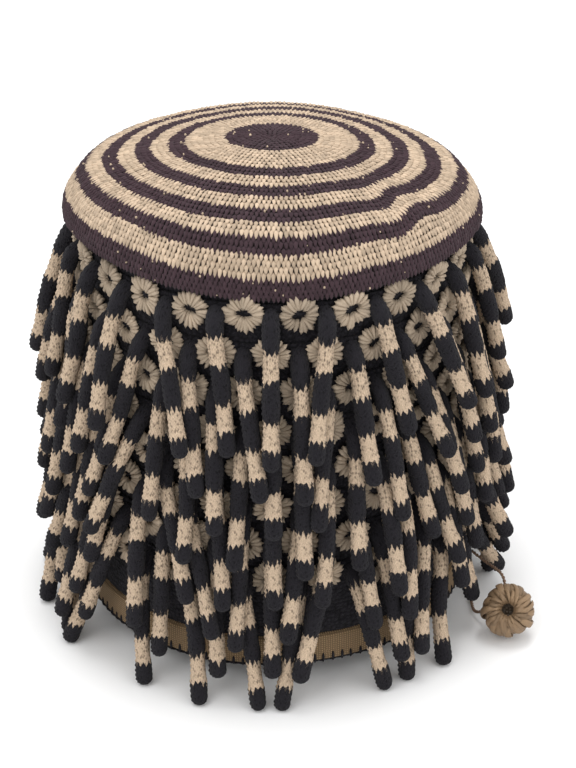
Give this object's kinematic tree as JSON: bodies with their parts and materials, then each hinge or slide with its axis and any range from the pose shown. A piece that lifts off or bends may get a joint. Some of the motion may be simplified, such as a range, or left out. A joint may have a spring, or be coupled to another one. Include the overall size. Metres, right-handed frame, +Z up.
{
  "type": "prestige hat",
  "caption": "Tall cylindrical looped-cotton hat with a ringed domed crown, rows of banded fingers over a hollow black wall, a woven hem and a tie with a raffia knob.",
  "frame": {"origin": "centre of the hat's footprint on the surface that it stands on, without the tie", "axes": "+Z up along the hat's axis, -Y towards the front that the picture shows, +X towards the side of the tie"},
  "size_m": [0.2625, 0.2539, 0.2573],
  "materials": {
    "crown_looped_cotton": "looped cotton in beige and dark brown rings",
    "wall_looped_cotton": "black looped cotton, matt",
    "hem_woven_cotton": "tan plain weave with a black blanket stitch",
    "fringe_looped_cotton": "looped cotton over stalks, banded black and beige",
    "twisted_cord": "two-ply twisted brown cord",
    "looped_raffia": "looped tan raffia"
  },
  "bodies": {
    "root": {"crown": "crown_looped_cotton", "side_wall": "wall_looped_cotton", "hem_band": "hem_woven_cotton", "fringe_row_1": "fringe_looped_cotton", "fringe_row_2": "fringe_looped_cotton", "fringe_row_3": "fringe_looped_cotton", "fringe_row_4": "fringe_looped_cotton", "fringe_row_5": "fringe_looped_cotton", "fringe_row_6": "fringe_looped_cotton", "fringe_row_7": "fringe_looped_cotton", "fringe_row_8": "fringe_looped_cotton", "tie_cord_a": "twisted_cord", "tie_cord_b": "twisted_cord", "tie_knob": "looped_raffia"}
  },
  "joints": []
}
